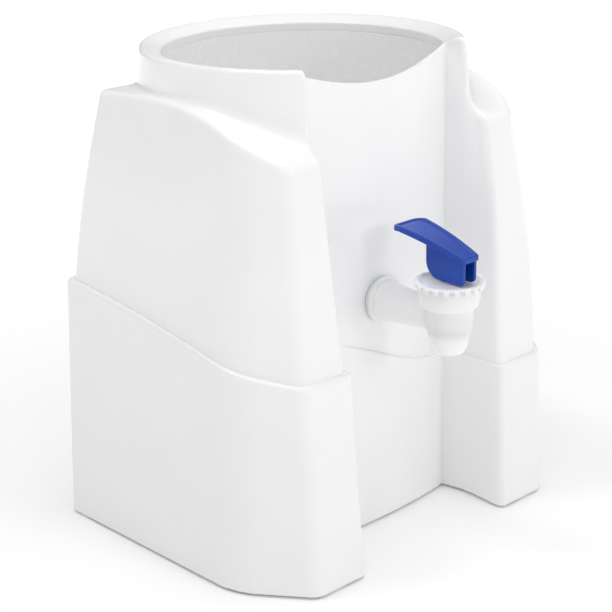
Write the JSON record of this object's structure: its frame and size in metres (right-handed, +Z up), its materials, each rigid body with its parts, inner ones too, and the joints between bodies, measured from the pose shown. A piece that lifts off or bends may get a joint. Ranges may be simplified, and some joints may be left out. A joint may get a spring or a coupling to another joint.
{
  "type": "countertop water dispenser",
  "caption": "Countertop gravity water dispenser: drum for an upturned bottle between two stepped legs, with a push-lever tap through its front panel.",
  "frame": {"origin": "centre of the bounding box's floor face, which is the plane of the feet", "axes": "+Z up, -Y to the front with the tap, +X to the right as seen from the front"},
  "size_m": [0.2828, 0.2608, 0.32],
  "materials": {
    "white_shell": "glossy moulded white plastic",
    "white_tub": "white food-safe moulded plastic",
    "translucent_tap": "milky translucent natural plastic",
    "blue_lever": "semi-gloss moulded blue plastic",
    "silicone": "milky silicone",
    "rubber_foot": "matt dark rubber",
    "steel": "bright stainless steel"
  },
  "bodies": {
    "root": {"upper_housing": "white_shell", "base_skirt": "white_shell", "reservoir_tub": "white_tub", "tap_body": "translucent_tap", "tap_collar": "translucent_tap", "bonnet_seal": "silicone", "front_washer": "silicone", "rear_washer": "silicone", "lock_nut": "translucent_tap", "valve_spring": "steel", "foot_front_left": "rubber_foot", "foot_front_right": "rubber_foot", "foot_rear_left": "rubber_foot", "foot_rear_right": "rubber_foot", "base_screw_front_left": "steel", "base_screw_front_right": "steel", "base_screw_rear_left": "steel", "base_screw_rear_right": "steel", "tub_screw_1": "steel", "tub_screw_2": "steel", "tub_screw_3": "steel", "tub_screw_4": "steel"},
    "plug": {"valve_plug": "silicone"},
    "stem": {"valve_stem": "translucent_tap", "lever_pin": "steel"},
    "lever": {"tap_lever": "blue_lever"}
  },
  "joints": [
    {"name": "valve_lift", "type": "slide", "parent": "root", "child": "plug", "axis": [0, 0, 1], "range_m": [0, 0.0021], "deforming": ["valve_spring"]},
    {"name": "lever_swivel", "type": "hinge", "parent": "plug", "child": "stem", "pos_m": [0, -0.10815, 0.1926], "axis": [0, 0, 1], "continuous": true},
    {"name": "lever_tilt", "type": "hinge", "parent": "stem", "child": "lever", "pos_m": [0, -0.10815, 0.1926], "axis": [-1, 0, 0], "range_deg": [0, 25], "stiffness_Nm_per_rad": 0.12, "springref_deg": -11.46}
  ],
  "couplings": [
    {"joint": "valve_lift", "follows": "lever_tilt", "m_per_rad": 0.004813}
  ]
}
